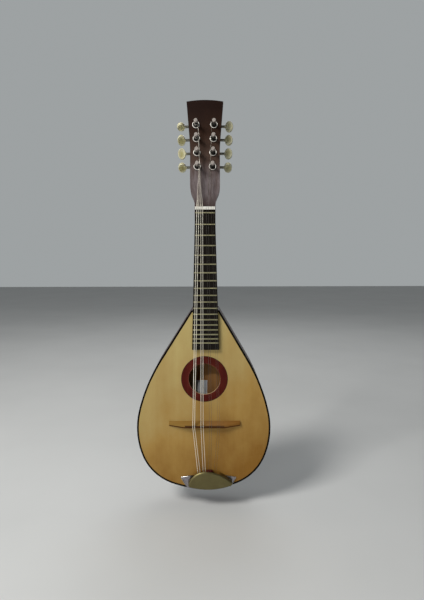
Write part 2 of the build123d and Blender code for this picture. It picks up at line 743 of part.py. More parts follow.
# ---------------------------------------------------------------- write every node
def main():
    os.makedirs("parts", exist_ok=True)
    save("soundboard", soundboard())
    save("rosette_ring", rosette_ring())
    save("back_plate", slab(body_outline(RIB_THICKNESS), RIB_BACK_Y, BODY_BACK_Y))
    save("side_bass", side(-1))
    save("side_treble", side(1))
    save("linings", linings())
    save("bindings", bindings())
    save("neck_block", neck_block())
    save("tail_block", tail_block())
    save("top_braces", braces(TOP_BRACE_Z, TOP_THICKNESS, TOP_THICKNESS + TOP_BRACE_DEPTH))
    save("back_braces", braces(BACK_BRACE_Z, RIB_BACK_Y - BACK_BRACE_DEPTH, RIB_BACK_Y))
    save("inner_label", inner_label())
    save("neck", neck())
    save("headstock_veneer", headstock_veneer())
    save("fretboard", fretboard())
    save("fret_wires", fret_wires())
    save("nut", nut())
    save("tuner_plate_right", tuner_plate())
    save("tuner_plate_left", mirror(tuner_plate(), Plane.YZ))
    save("tuner_plate_screws", tuner_plate_screws())
    save("post_ferrules", post_ferrules())
    for index in range(TUNER_COUNT):
        place = tuner_place(index)
        number = index + 1
        pieces = {
            "worm_shaft": worm_shaft(),
            "worm_gear": worm_gear(),
            "string_post": string_post(WINDING_HEIGHT[index]),
        }
        for name, shape in pieces.items():
            solids = shape if isinstance(shape, list) else [shape]
            placed = [place * solid for solid in solids]
            save(f"{name}_right_{number}", placed)
            save(f"{name}_left_{number}", [mirror(solid, Plane.YZ) for solid in placed])
        save(f"tuner_button_right_{number}", place * tuner_button(BUTTON_TURNS["right"][index]))
        left_button = place * tuner_button(BUTTON_TURNS["left"][index])
        save(f"tuner_button_left_{number}", mirror(left_button, Plane.YZ))
    save("bridge_base", bridge_base())
    save("bridge_saddle", bridge_saddle())
    save("tailpiece_plate", tailpiece_plate())
    save("tailpiece_screws", tailpiece_screws())
    save("tailpiece_cover", tailpiece_cover())
    save("wound_strings", [string(index) for index in range(4)])
    save("plain_strings", [string(index) for index in range(4, 8)])


main()
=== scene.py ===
import bmesh
import bpy
import json
from math import atan2, cos, pi, radians, sin
from mathutils import Matrix, Vector


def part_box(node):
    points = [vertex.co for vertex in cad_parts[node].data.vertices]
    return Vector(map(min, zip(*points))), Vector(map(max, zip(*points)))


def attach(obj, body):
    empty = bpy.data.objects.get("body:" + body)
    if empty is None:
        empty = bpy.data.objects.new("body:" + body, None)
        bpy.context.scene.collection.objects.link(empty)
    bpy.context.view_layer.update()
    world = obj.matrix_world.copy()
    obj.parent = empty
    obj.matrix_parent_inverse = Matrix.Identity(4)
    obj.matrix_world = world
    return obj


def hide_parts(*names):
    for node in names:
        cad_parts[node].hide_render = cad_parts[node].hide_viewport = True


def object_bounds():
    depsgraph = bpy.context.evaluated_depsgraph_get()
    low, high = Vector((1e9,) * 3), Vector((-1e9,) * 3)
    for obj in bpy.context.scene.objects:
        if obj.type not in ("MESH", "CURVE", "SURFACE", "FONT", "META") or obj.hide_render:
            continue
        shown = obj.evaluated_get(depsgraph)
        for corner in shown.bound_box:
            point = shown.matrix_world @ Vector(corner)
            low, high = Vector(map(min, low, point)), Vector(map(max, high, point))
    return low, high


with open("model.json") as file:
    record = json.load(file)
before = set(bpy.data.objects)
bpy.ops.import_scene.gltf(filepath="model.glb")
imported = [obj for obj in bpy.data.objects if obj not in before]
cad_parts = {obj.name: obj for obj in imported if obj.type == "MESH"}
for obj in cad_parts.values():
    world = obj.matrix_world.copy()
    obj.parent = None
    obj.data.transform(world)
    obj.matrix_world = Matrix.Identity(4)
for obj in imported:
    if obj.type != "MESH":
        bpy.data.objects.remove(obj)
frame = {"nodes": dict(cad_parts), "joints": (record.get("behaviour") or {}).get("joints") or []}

CAD_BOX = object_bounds()
NODES = frame["nodes"]
JOINTS = {joint["name"]: joint for joint in frame["joints"]}
ROOT = "instrument"
MM = 0.001
SIDES = ("left", "right")
TUNERS = (1, 2, 3, 4)


# ---------------------------------------------------------------- places read from the frame
def centre_of(node):
    low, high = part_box(node)
    return (low + high) / 2


def size_of(node):
    low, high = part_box(node)
    return high - low


HOLE_CENTRE = centre_of("rosette_ring")
ROSETTE_RADIUS = size_of("rosette_ring").x / 2
HOLE_RADIUS = 0.0267
TOP_LOW, TOP_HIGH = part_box("soundboard")
BACK_INNER_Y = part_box("back_plate")[0].y
HEAD_LOW, HEAD_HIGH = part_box("headstock_veneer")
BRIDGE_LOW, BRIDGE_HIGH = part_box("bridge_base")


# ---------------------------------------------------------------- materials
class Maker:
    """A material being built, node by node. Coordinates are the row frame's, in metres."""

    def __init__(self, name, **settings):
        self.material = bpy.data.materials.new(name)
        self.material.use_nodes = True
        self.tree = self.material.node_tree
        self.shader = self.tree.nodes["Principled BSDF"]
        for key, value in settings.items():
            self.shader.inputs[key.replace("_", " ")].default_value = value
        self.place = self.tree.nodes.new("ShaderNodeTexCoord").outputs["Object"]

    def add(self, kind, inputs=None, **properties):
        node = self.tree.nodes.new("ShaderNode" + kind)
        for key, value in properties.items():
            setattr(node, key, value)
        for key, value in (inputs or {}).items():
            socket = node.inputs[key]
            if isinstance(value, bpy.types.NodeSocket):
                self.tree.links.new(value, socket)
            else:
                socket.default_value = value
        return node

    def stretched(self, scale):
        return self.add("Mapping", {"Vector": self.place, "Scale": scale}).outputs["Vector"]

    def noise(self, vector, scale=1.0, detail=4.0, roughness=0.55, distortion=0.0):
        inputs = {
            "Vector": vector, "Scale": scale, "Detail": detail,
            "Roughness": roughness, "Distortion": distortion,
        }
        return self.add("TexNoise", inputs).outputs["Fac"]

    def ramp(self, factor, stops):
        """A colour read from stops of position and colour."""
        node = self.add("ValToRGB", {"Fac": factor})
        elements = node.color_ramp.elements
        while len(elements) < len(stops):
            elements.new(0.5)
        for element, (position, colour) in zip(elements, stops):
            element.position = position
            element.color = (*colour, 1)
        return node.outputs["Color"]

    def grey(self, factor, low, high):
        """A factor from 0 to 1, mapped to low to high."""
        inputs = {"Value": factor, "To Min": low, "To Max": high}
        return self.add("MapRange", inputs).outputs["Result"]

    def mix(self, factor, first, second, blend="MIX"):
        node = self.add("Mix", data_type="RGBA", blend_type=blend)
        for index, value in ((0, factor), (6, first), (7, second)):
            if isinstance(value, bpy.types.NodeSocket):
                self.tree.links.new(value, node.inputs[index])
            else:
                colour = (*value, 1) if isinstance(value, tuple) else value
                node.inputs[index].default_value = colour
        return node.outputs[2]

    def maths(self, operation, first, second=0.0):
        node = self.add("Math", operation=operation)
        for index, value in enumerate((first, second)):
            if isinstance(value, bpy.types.NodeSocket):
                self.tree.links.new(value, node.inputs[index])
            else:
                node.inputs[index].default_value = value
        return node.outputs[0]

    def part(self, axis, source=None):
        """One coordinate of a vector."""
        return self.add("SeparateXYZ", {"Vector": source or self.place}).outputs[axis]

    def ramp_along(self, axis, low, high):
        """0 to 1 between two coordinates along an axis."""
        inputs = {"Value": self.part(axis), "From Min": low, "From Max": high}
        return self.add("MapRange", inputs).outputs["Result"]

    def bump(self, height, strength, distance):
        inputs = {"Height": height, "Strength": strength, "Distance": distance}
        self.join(self.add("Bump", inputs).outputs["Normal"], "Normal")
        return self

    def join(self, output, name):
        self.tree.links.new(output, self.shader.inputs[name])
        return self


def gloss(name, coat=0.6, coat_roughness=0.12, roughness=0.4, **more):
    """Lacquered surface."""
    settings = {
        "Roughness": roughness, "Coat_Weight": coat, "Coat_Roughness": coat_roughness, "IOR": 1.45,
    }
    settings.update(more)
    return Maker(name, **settings)


RING_SPACING = 1.5 * MM


def spruce_top():
    """Quarter-sawn spruce under amber varnish, with painted shade: paler to the neck and bass side, darker
    to the tail, as the upper-left light falls away.
    """
    m = gloss("spruce_top", coat=0.05, coat_roughness=0.25, roughness=0.45, Specular_IOR_Level=0.2)
    fine = m.noise(m.stretched((900, 900, 12)), detail=6.0)
    wander = m.noise(m.stretched((16, 16, 3)), detail=2.0)
    drift = m.maths("MULTIPLY", wander, 30.0)
    phase = m.maths("ADD", m.maths("MULTIPLY", m.part("X"), 2 * pi / RING_SPACING), drift)
    rings = m.maths("POWER", m.grey(m.maths("SINE", phase), 0.0, 1.0), 2.0)
    rays = m.noise(m.stretched((70, 70, 900)), detail=3.0)
    bands = m.noise(m.stretched((34, 34, 1.2)), detail=3.0, roughness=0.6)
    # Painted shade: the colour darkens to the right and towards the tail, following the fall of the
    # upper-left light; the patch noise adds random tone.
    across = m.ramp_along("X", TOP_LOW.x, TOP_HIGH.x)
    shade_to_tail = m.ramp_along("Z", TOP_HIGH.z, TOP_LOW.z)
    patch = m.noise(m.stretched((22, 22, 13)), detail=4.0, roughness=0.6)
    slope = m.maths("ADD", m.maths("MULTIPLY", across, 0.26), m.maths("MULTIPLY", shade_to_tail, 0.66))
    slope = m.maths("ADD", slope, m.maths("MULTIPLY", m.maths("SUBTRACT", patch, 0.5), 0.50))
    base = m.ramp(slope, [
        (0.12, (0.500, 0.420, 0.180)),
        (0.36, (0.425, 0.312, 0.118)),
        (0.54, (0.380, 0.230, 0.058)),
        (0.80, (0.225, 0.094, 0.003)),
    ])
    dark = m.mix(m.grey(rings, 0.0, 0.7), base, (0.86, 0.78, 0.62), "MULTIPLY")
    dark = m.mix(m.grey(bands, -0.50, 1.10), dark, (0.78, 0.68, 0.52), "MULTIPLY")
    streaked = m.mix(m.grey(fine, 0.0, 0.14), dark, (0.52, 0.37, 0.13))
    m.join(m.mix(m.grey(rays, 0.0, 0.08), streaked, (0.54, 0.40, 0.16)), "Base Color")
    m.join(m.grey(fine, 0.38, 0.54), "Roughness")
    return m.bump(fine, 0.12, 0.0002).material


def dark_wood(name, tones, grain_axis="Z", coat=0.2, shine=0.2):
    """Open-grained dark wood under lacquer, with its pores drawn out along one axis."""
    m = gloss(name, coat=coat, coat_roughness=0.15, roughness=0.45, Specular_IOR_Level=shine)
    along = {"X": (14, 700, 700), "Z": (700, 700, 14)}[grain_axis]
    broad = {"X": (5, 80, 80), "Z": (80, 80, 5)}[grain_axis]
    pores = m.noise(m.stretched(along), detail=6.0, roughness=0.65)
    bands = m.noise(m.stretched(broad), detail=4.0, distortion=0.8)
    cloud = m.noise(m.stretched((12, 12, 12)), detail=2.0)
    colour = m.ramp(bands, [(0.28, tones[0]), (0.5, tones[1]), (0.74, tones[2])])
    colour = m.mix(m.grey(pores, 0.0, 0.55), colour, tones[0])
    colour = m.mix(m.grey(cloud, 0.0, 0.35), colour, tones[1])
    m.join(colour, "Base Color")
    return m.bump(pores, 0.10, 0.00015).material


def back_and_sides():
    """Lacquered mahogany outside, raw pale wood on the face that lies inside the sound box."""
    m = gloss("mahogany_back", coat_roughness=0.1, roughness=0.4)
    pores = m.noise(m.stretched((700, 700, 16)), detail=6.0, roughness=0.65)
    bands = m.noise(m.stretched((70, 70, 4)), detail=4.0, distortion=0.7)
    outside = m.ramp(bands, [
        (0.28, (0.030, 0.010, 0.007)), (0.52, (0.065, 0.023, 0.016)), (0.76, (0.115, 0.045, 0.029)),
    ])
    outside = m.mix(m.grey(pores, 0.0, 0.6), outside, (0.028, 0.009, 0.006))
    raw = m.ramp(bands, [(0.3, (0.25, 0.115, 0.038)), (0.7, (0.38, 0.19, 0.070))])
    inside = m.maths("LESS_THAN", m.part("Y"), BACK_INNER_Y + 0.0002)
    facing_front = m.maths("GREATER_THAN", m.part("Y"), BACK_INNER_Y - 0.0002)
    bare = m.maths("MULTIPLY", inside, facing_front)
    m.join(m.mix(bare, outside, raw), "Base Color")
    m.join(m.grey(bare, 0.15, 0.0), "Coat Weight")
    m.join(m.grey(bare, 0.15, 0.0), "Specular IOR Level")
    return m.bump(pores, 0.10, 0.00015).material


def raw_wood():
    m = Maker("raw_inner_wood", Roughness=0.75)
    grain = m.noise(m.stretched((30, 500, 500)), detail=5.0)
    m.join(m.ramp(grain, [(0.3, (0.20, 0.115, 0.050)), (0.7, (0.34, 0.21, 0.105))]), "Base Color")
    return m.bump(grain, 0.2, 0.0003).material


ROSETTE_LINE = 0.9 * MM
ROSETTE_LIP = 0.8 * MM


def rosette_inlay():
    """Red-brown ring with a thin black line round it and a paler edge at the hole; its inner wall is
    painted pale, partly bare wood and partly painted light from above.
    """
    m = gloss("rosette_inlay", coat=0.0, coat_roughness=0.25, roughness=0.5, Specular_IOR_Level=0.1)
    centred = m.add("VectorMath", {0: m.place, 1: HOLE_CENTRE}, operation="SUBTRACT").outputs["Vector"]
    flat = m.add("VectorMath", {0: centred, 1: (1, 0, 1)}, operation="MULTIPLY").outputs["Vector"]
    distance = m.add("VectorMath", {0: flat}, operation="LENGTH").outputs["Value"]
    pores = m.noise(m.stretched((500, 500, 18)), detail=5.0)
    cloud = m.noise(m.stretched((60, 60, 60)), detail=3.0)
    mottle = m.maths("ADD", m.maths("MULTIPLY", pores, 0.5), m.maths("MULTIPLY", cloud, 0.5))
    wood = m.ramp(mottle, [
        (0.3, (0.044, 0.004, 0.003)), (0.5, (0.066, 0.007, 0.004)), (0.7, (0.092, 0.012, 0.006)),
    ])
    edge = m.maths("GREATER_THAN", distance, ROSETTE_RADIUS - ROSETTE_LINE)
    inner = m.maths("LESS_THAN", distance, HOLE_RADIUS + ROSETTE_LIP)
    lined = m.mix(edge, wood, (0.035, 0.010, 0.008))
    ringed = m.mix(inner, lined, (0.12, 0.030, 0.020))
    # Painted light: the hole's inner wall, facing across rather than out, is painted pale, partly its bare
    # wood and partly light from above.
    painted_light_facing = m.maths("ABSOLUTE", m.part("Y", m.add("NewGeometry").outputs["Normal"]))
    m.join(m.mix(m.maths("LESS_THAN", painted_light_facing, 0.5), ringed, (0.62, 0.42, 0.30)), "Base Color")
    return m.bump(pores, 0.08, 0.0001).material


def headstock_lacquer():
    """Black-brown lacquer, with a painted purplish reflection in upright streaks near the nut."""
    m = gloss("headstock_lacquer", coat=0.0, coat_roughness=0.25, roughness=0.5, Specular_IOR_Level=0.12)
    pores = m.noise(m.stretched((650, 650, 12)), detail=6.0)
    streaks = m.noise(m.stretched((260, 260, 7)), detail=4.0, roughness=0.6)
    cloud = m.noise(m.stretched((45, 45, 22)), detail=3.0)
    up = m.ramp_along("Z", HEAD_LOW.z, HEAD_HIGH.z)
    sway = m.maths("MULTIPLY", m.maths("SUBTRACT", cloud, 0.5), 0.16)
    colour = m.ramp(m.maths("ADD", up, sway), [
        (0.00, (0.066, 0.042, 0.040)), (0.26, (0.084, 0.054, 0.046)),
        (0.45, (0.078, 0.048, 0.036)), (0.66, (0.034, 0.015, 0.008)), (0.93, (0.012, 0.0035, 0.0015)),
    ])
    # Painted reflection: a purplish-grey sheen, strongest near the nut and broken into upright streaks,
    # mixed into the colour.
    painted_sheen = m.ramp(up, [
        (0.02, (0.10, 0.10, 0.10)), (0.10, (0.55, 0.55, 0.55)),
        (0.24, (0.70, 0.70, 0.70)), (0.42, (0, 0, 0)),
    ])
    streaked_sheen = m.maths("MULTIPLY", painted_sheen, m.maths("MULTIPLY", m.grey(streaks, -0.7, 2.6), 0.8))
    sheened = m.mix(streaked_sheen, colour, (0.27, 0.235, 0.245))
    m.join(m.mix(m.grey(pores, 0.0, 0.4), sheened, (0.014, 0.007, 0.006)), "Base Color")
    m.join(m.grey(pores, 0.42, 0.60), "Roughness")
    return m.bump(pores, 0.10, 0.0001).material


def fretboard_wood():
    m = Maker("fretboard_wood", Roughness=0.42, Specular_IOR_Level=0.08)
    pores = m.noise(m.stretched((800, 800, 14)), detail=6.0, roughness=0.7)
    wear = m.noise(m.stretched((60, 60, 25)), detail=3.0)
    colour = m.ramp(pores, [(0.3, (0.004, 0.003, 0.002)), (0.75, (0.013, 0.010, 0.008))])
    m.join(m.mix(m.grey(wear, 0.0, 0.35), colour, (0.018, 0.013, 0.010)), "Base Color")
    m.join(m.grey(wear, 0.32, 0.5), "Roughness")
    return m.bump(pores, 0.2, 0.0002).material


def metal(name, colour, dull, roughness=(0.12, 0.3), tarnish=0.35, metallic=1.0):
    """Plated metal with scratches and tarnish. A metallic below 1 lets it scatter some light."""
    m = Maker(name, Metallic=metallic, Roughness=roughness[0])
    marks = m.noise(m.stretched((300, 300, 300)), detail=5.0, roughness=0.7)
    cloud = m.noise(m.stretched((110, 110, 110)), detail=3.0)
    m.join(m.mix(m.grey(cloud, 0.0, tarnish), colour, dull), "Base Color")
    m.join(m.grey(marks, *roughness), "Roughness")
    return m.bump(marks, 0.04, 0.00005).material


POST_TIP_START = 26.6 * MM
POST_TIP_END = 27.6 * MM


def post_metal():
    """Nickelled post, painted near-black in its waist as a painted reflection of the dark head, and pale
    at its tip as a painted highlight.
    """
    joint = JOINTS["post_turn_left_1"]
    out = Vector(joint["axis"]).normalized()
    foot = Vector(joint["pos_m"]).dot(out)
    m = Maker("post_metal", Metallic=0.5, Roughness=0.3)
    marks = m.noise(m.stretched((300, 300, 300)), detail=5.0, roughness=0.7)
    height = m.add("VectorMath", {0: m.place, 1: out}, operation="DOT_PRODUCT").outputs["Value"]
    tip_range = {"Value": height, "From Min": foot + POST_TIP_START, "From Max": foot + POST_TIP_END}
    bright = m.add("MapRange", tip_range)
    tip = m.mix(marks, (0.62, 0.56, 0.52), (0.44, 0.39, 0.35))
    # Painted reflection and highlight: near-black below the tip, pale at the tip.
    m.join(m.mix(bright.outputs["Result"], (0.020, 0.018, 0.016), tip), "Base Color")
    return m.bump(marks, 0.04, 0.00005).material


WRAP_PITCH = 0.22 * MM


def wound_wire():
    """Steel string with a pale metal wrap: fine ridges run round it, and past the nut it is painted darker
    as painted shade.
    """
    m = Maker("wound_wire", Metallic=0.65, Roughness=0.38)
    ridge = m.maths("SINE", m.maths("MULTIPLY", m.part("Z"), 2 * pi / WRAP_PITCH))
    cloud = m.noise(m.stretched((200, 200, 60)), detail=2.0)
    bright = m.mix(m.grey(cloud, 0.0, 0.5), (0.92, 0.88, 0.76), (0.78, 0.72, 0.58))
    # Painted shade: the wrap is painted darker above the nut, over the head.
    m.join(m.mix(m.ramp_along("Z", 0.012, 0.030), bright, (0.36, 0.33, 0.29)), "Base Color")
    return m.bump(m.grey(ridge, 0.0, 1.0), 0.4, 0.00006).material


def cream_button(name, heart, body, edge):
    """Moulded button: a yellow-green heart inside a paler, more see-through rim."""
    m = gloss(name, coat=0.3, coat_roughness=0.2, roughness=0.4, Specular_IOR_Level=0.3)
    m.shader.inputs["Subsurface Weight"].default_value = 0.15
    m.shader.inputs["Subsurface Radius"].default_value = (0.004, 0.003, 0.002)
    cloud = m.noise(m.stretched((190, 190, 190)), detail=3.0, distortion=1.2)
    speck = m.noise(m.stretched((1500, 1500, 1500)), detail=2.0)
    generated = m.add("TexCoord").outputs["Generated"]
    offset = m.add("VectorMath", {0: generated, 1: (0.5, 0.5, 0.5)}, operation="DISTANCE")
    sway = m.maths("MULTIPLY", m.maths("SUBTRACT", cloud, 0.5), 0.22)
    reach = m.maths("ADD", offset.outputs["Value"], sway)
    colour = m.ramp(reach, [(0.12, heart), (0.33, body), (0.50, edge)])
    m.join(m.mix(m.grey(speck, 0.0, 0.12), colour, (0.36, 0.32, 0.20)), "Base Color")
    return m.bump(cloud, 0.05, 0.0002).material


def plastic(name, light, dark, coat=0.3, shine=0.5):
    m = gloss(name, coat=coat, coat_roughness=0.2, roughness=0.4, Specular_IOR_Level=shine)
    cloud = m.noise(m.stretched((250, 250, 250)), detail=4.0)
    m.join(m.mix(m.grey(cloud, 0.0, 0.8), light, dark), "Base Color")
    return m.bump(cloud, 0.05, 0.0001).material


def bridge_wood():
    """Pale pinkish-brown wood, with painted shade on the slope that faces the tail."""
    m = gloss("bridge_wood", coat=0.0, roughness=0.5, Specular_IOR_Level=0.0)
    grain = m.noise(m.stretched((22, 500, 500)), detail=6.0)
    bands = m.noise(m.stretched((14, 120, 120)), detail=3.0)
    along = m.maths("ADD", m.ramp_along("X", BRIDGE_LOW.x, BRIDGE_HIGH.x), m.grey(bands, -0.15, 0.15))
    light = m.ramp(along, [
        (0.10, (0.290, 0.176, 0.044)), (0.46, (0.250, 0.143, 0.035)), (0.60, (0.283, 0.150, 0.050)),
        (0.92, (0.216, 0.100, 0.020)),
    ])
    # Painted shade: faces turned towards the tail are painted dark brown.
    painted_light_facing = m.part("Z", m.add("NewGeometry").outputs["Normal"])
    painted_shade_tailward = m.add("MapRange", {"Value": painted_light_facing, "From Min": -0.15, "From Max": -0.5})
    shade = m.mix(painted_shade_tailward.outputs["Result"], light, (0.095, 0.036, 0.012))
    m.join(m.mix(m.grey(grain, 0.0, 0.4), shade, (0.13, 0.055, 0.022)), "Base Color")
    return m.bump(grain, 0.2, 0.0002).material


def label_paper():
    m = Maker("label_paper", Roughness=0.85)
    fibre = m.noise(m.stretched((900, 900, 900)), detail=5.0)
    stain = m.noise(m.stretched((40, 40, 40)), detail=3.0)
    colour = m.ramp(fibre, [(0.3, (0.52, 0.56, 0.60)), (0.7, (0.66, 0.70, 0.74))])
    m.join(m.mix(m.grey(stain, 0.0, 0.4), colour, (0.50, 0.46, 0.36)), "Base Color")
    return m.bump(fibre, 0.15, 0.0001).material


def floor_paint():
    m = Maker("floor_paint", Roughness=0.85)
    cloud = m.noise(m.stretched((3, 3, 3)), detail=3.0)
    m.join(m.ramp(cloud, [(0.3, (0.60, 0.61, 0.61)), (0.7, (0.64, 0.65, 0.65))]), "Base Color")
    return m.material


NICKEL = metal("nickel", (0.62, 0.60, 0.56), (0.34, 0.32, 0.27), roughness=(0.10, 0.24))
PLATE_METAL = metal("plate_metal", (0.36, 0.34, 0.37), (0.20, 0.18, 0.20), roughness=(0.2, 0.35))
DARK_NICKEL = metal("dark_nickel", (0.22, 0.215, 0.18), (0.10, 0.095, 0.07), roughness=(0.25, 0.45))
# Painted highlight: a paler, less metallic copy of the nickel, so the ferrule rims show bright.
RIM_HIGHLIGHT = metal("rim_highlight_metal", (0.86, 0.83, 0.77), (0.50, 0.47, 0.42), roughness=(0.25, 0.4),
                  metallic=0.45)
COVER_METAL = metal("cover_metal", (0.210, 0.180, 0.082), (0.135, 0.116, 0.054), roughness=(0.35, 0.5),
                    tarnish=0.9)
BRASS = metal("brass", (0.66, 0.48, 0.20), (0.36, 0.24, 0.09), roughness=(0.22, 0.42))
FRET_METAL = metal("fret_metal", (0.60, 0.56, 0.34), (0.36, 0.32, 0.17), roughness=(0.28, 0.45))
WOUND = wound_wire()
POST = post_metal()
PLAIN = metal("plain_wire", (0.13, 0.125, 0.11), (0.08, 0.075, 0.065), roughness=(0.25, 0.4))
TOP = spruce_top()
MAHOGANY = back_and_sides()
RAW = raw_wood()
ROSETTE = rosette_inlay()
BINDING = plastic("binding_black", (0.008, 0.007, 0.006), (0.004, 0.003, 0.003), coat=0.0, shine=0.0)
# Painted shade: near-black metal for the ring inside each ferrule, where the recess lies in shade.
RECESS_SHADE = metal("recess_shade_metal", (0.014, 0.011, 0.009), (0.006, 0.005, 0.004), roughness=(0.5, 0.7),
                metallic=0.8)
NECK = dark_wood("neck_wood", [(0.030, 0.011, 0.008), (0.070, 0.027, 0.019), (0.115, 0.048, 0.034)])
HEAD = headstock_lacquer()
BOARD = fretboard_wood()
BONE = plastic("nut_white", (0.80, 0.79, 0.74), (0.66, 0.64, 0.56))
BUTTONS = {
    "left": cream_button(
        "cream_button", (0.320, 0.290, 0.110), (0.410, 0.375, 0.180), (0.560, 0.530, 0.340)),
    # Painted shade: the right-hand buttons use a darker, greyer copy of the same cream, for the shade they
    # sit in.
    "right": cream_button(
        "shaded_button", (0.265, 0.245, 0.115), (0.330, 0.310, 0.170), (0.440, 0.425, 0.285)),
}
BRIDGE = bridge_wood()
SADDLE = dark_wood("saddle_wood", [(0.050, 0.022, 0.010), (0.085, 0.040, 0.016), (0.13, 0.065, 0.026)],
                   grain_axis="X", coat=0.0, shine=0.0)
PAPER = label_paper()
DAMPER = dark_wood("damper_wood", [(0.045, 0.005, 0.004), (0.080, 0.009, 0.007), (0.120, 0.018, 0.012)],
                   grain_axis="X", coat=0.0)

NODE_MATERIALS = {
    "soundboard": TOP, "rosette_ring": ROSETTE, "back_plate": MAHOGANY, "side_bass": MAHOGANY,
    "side_treble": MAHOGANY, "linings": RAW, "bindings": BINDING, "neck_block": RAW, "tail_block": RAW,
    "top_braces": RAW, "back_braces": RAW, "inner_label": PAPER, "neck": NECK, "headstock_veneer": HEAD,
    "fretboard": BOARD, "fret_wires": FRET_METAL, "nut": BONE, "tuner_plate_left": DARK_NICKEL,
    "tuner_plate_right": DARK_NICKEL, "tuner_plate_screws": NICKEL, "post_ferrules": NICKEL,
    "bridge_base": BRIDGE, "bridge_saddle": SADDLE, "tailpiece_plate": PLATE_METAL,
    "tailpiece_screws": NICKEL, "tailpiece_cover": COVER_METAL, "wound_strings": WOUND,
    "plain_strings": PLAIN,
}
TUNER_MATERIALS = {
    "worm_shaft": DARK_NICKEL, "worm_gear": BRASS, "string_post": POST, "tuner_button": BUTTONS["left"],
}


def paint(obj, material):
    obj.data.materials.clear()
    obj.data.materials.append(material)
    return obj


def paint_frame():
    for node, material in NODE_MATERIALS.items():
        paint(NODES[node], material)
    for name, material in TUNER_MATERIALS.items():
        for side in SIDES:
            for number in TUNERS:
                paint(NODES[f"{name}_{side}_{number}"], material)


# ---------------------------------------------------------------- pieces
def piece(name, vertices, faces, material, slot, body, smooth=True, subdivisions=0):
    """A mesh piece that rides on a body."""
    mesh = bpy.data.meshes.new(name)
    mesh.from_pydata(vertices, [], faces)
    builder = bmesh.new()
    builder.from_mesh(mesh)
    bmesh.ops.recalc_face_normals(builder, faces=builder.faces)
    builder.to_mesh(mesh)
    builder.free()
    mesh.polygons.foreach_set("use_smooth", [smooth] * len(mesh.polygons))
    obj = bpy.data.objects.new(name, mesh)
    bpy.context.scene.collection.objects.link(obj)
    if subdivisions:
        modifier = obj.modifiers.new("subdivision", "SUBSURF")
        modifier.levels = subdivisions
        modifier.render_levels = subdivisions
    paint(obj, material)
    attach(obj, body)
    return obj


def grid_faces(rings, around):
    """Quads between rings of points, with a cap at each end."""
    faces = []
    for ring in range(rings - 1):
        for step in range(around):
            ahead = (step + 1) % around
            first = ring * around
            second = first + around
            faces.append((first + step, first + ahead, second + ahead, second + step))
    faces.append(tuple(reversed(range(around))))
    faces.append(tuple((rings - 1) * around + step for step in range(around)))
    return faces


def tube(points, radius, around=12):
    """Vertices and faces of a round tube along a line of points."""
    vertices = []
    reference = None
    for index, point in enumerate(points):
        ahead = points[min(index + 1, len(points) - 1)]
        behind = points[max(index - 1, 0)]
        heading = (ahead - behind).normalized()
        if reference is None:
            reference = heading.orthogonal().normalized()
        reference = (reference - heading * reference.dot(heading)).normalized()
        other = heading.cross(reference)
        for step in range(around):
            angle = 2 * pi * step / around
            vertices.append(point + (reference * cos(angle) + other * sin(angle)) * radius)
    return vertices, grid_faces(len(points), around)


def add_part(whole, part):
    vertices, faces = whole
    offset = len(vertices)
    vertices.extend(part[0])
    faces.extend(tuple(index + offset for index in face) for face in part[1])
    return whole


def post_frame(side, number):
    """Origin on a post's axis at the head's back, and axes outboard, up the head and out of its face."""
    joint = JOINTS[f"post_turn_{side}_{number}"]
    key = JOINTS[f"key_turn_{side}_{number}"]
    out = Vector(joint["axis"]).normalized()
    outboard = Vector(key["axis"]).normalized()
    if side == "left":
        outboard = -outboard
    up = Vector(key["pos_m"]) - Vector(joint["pos_m"])
    up = (up - out * up.dot(out)).normalized()
    return Vector(joint["pos_m"]), outboard, up, out


BUTTON_START = 18.8 * MM
BUTTON_LENGTH = 13.3 * MM
BUTTON_WIDTH = 18.4 * MM
BUTTON_THICKNESS = 5.5 * MM
BUTTON_TURNS = {"right": (58, 4, -6, 8), "left": (62, 15, 50, 80)}
BUTTON_SIDES = 40
# Share of the half width and of the half thickness, from the dished face out to the rim.
BUTTON_FACE = ((0.30, 0.74), (0.62, 0.80), (0.80, 0.97), (0.90, 1.0), (0.965, 0.82), (1.0, 0.42))
# Distance from the post's axis and radius, in millimetres.
BUTTON_STEM = ((18.0, 1.9), (18.05, 2.45), (18.4, 2.6), (18.9, 2.5), (19.4, 2.3), (20.4, 2.3), (21.6, 2.1))
STEM_SIDES = 20


def button_mesh(side, number):
    """Oval button: dished faces, a rounded rim, and a waisted stem that grips the shaft."""
    key = JOINTS[f"key_turn_{side}_{number}"]
    _, outboard, up, out = post_frame(side, number)
    centre = Vector(key["pos_m"])
    turn = radians(BUTTON_TURNS[side][number - 1])
    wide = up * cos(turn) + out * sin(turn)
    thick = out * cos(turn) - up * sin(turn)
    middle = centre + outboard * (BUTTON_START + BUTTON_LENGTH / 2)
    rings = list(BUTTON_FACE) + [(reach, -lift) for reach, lift in reversed(BUTTON_FACE)]
    vertices = []
    for reach, lift in rings:
        for step in range(BUTTON_SIDES):
            angle = 2 * pi * step / BUTTON_SIDES
            along = cos(angle) * BUTTON_LENGTH / 2 * reach
            across = sin(angle) * BUTTON_WIDTH / 2 * reach
            height = lift * BUTTON_THICKNESS / 2
            vertices.append(middle + outboard * along + wide * across + thick * height)
    shape = (vertices, grid_faces(len(rings), BUTTON_SIDES))
    stem_points = []
    for distance, radius in BUTTON_STEM:
        for step in range(STEM_SIDES):
            angle = 2 * pi * step / STEM_SIDES
            spread = (wide * cos(angle) + thick * sin(angle)) * radius * MM
            stem_points.append(centre + outboard * distance * MM + spread)
    return add_part(shape, (stem_points, grid_faces(len(BUTTON_STEM), STEM_SIDES)))


def make_buttons():
    for side in SIDES:
        for number in TUNERS:
            name = f"button_{side}_{number}"
            body = f"key_{side}_{number}"
            vertices, faces = button_mesh(side, number)
            obj = piece(name, vertices, faces, BUTTONS[side], "button_cream", body, subdivisions=1)
            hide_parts(f"tuner_button_{side}_{number}")


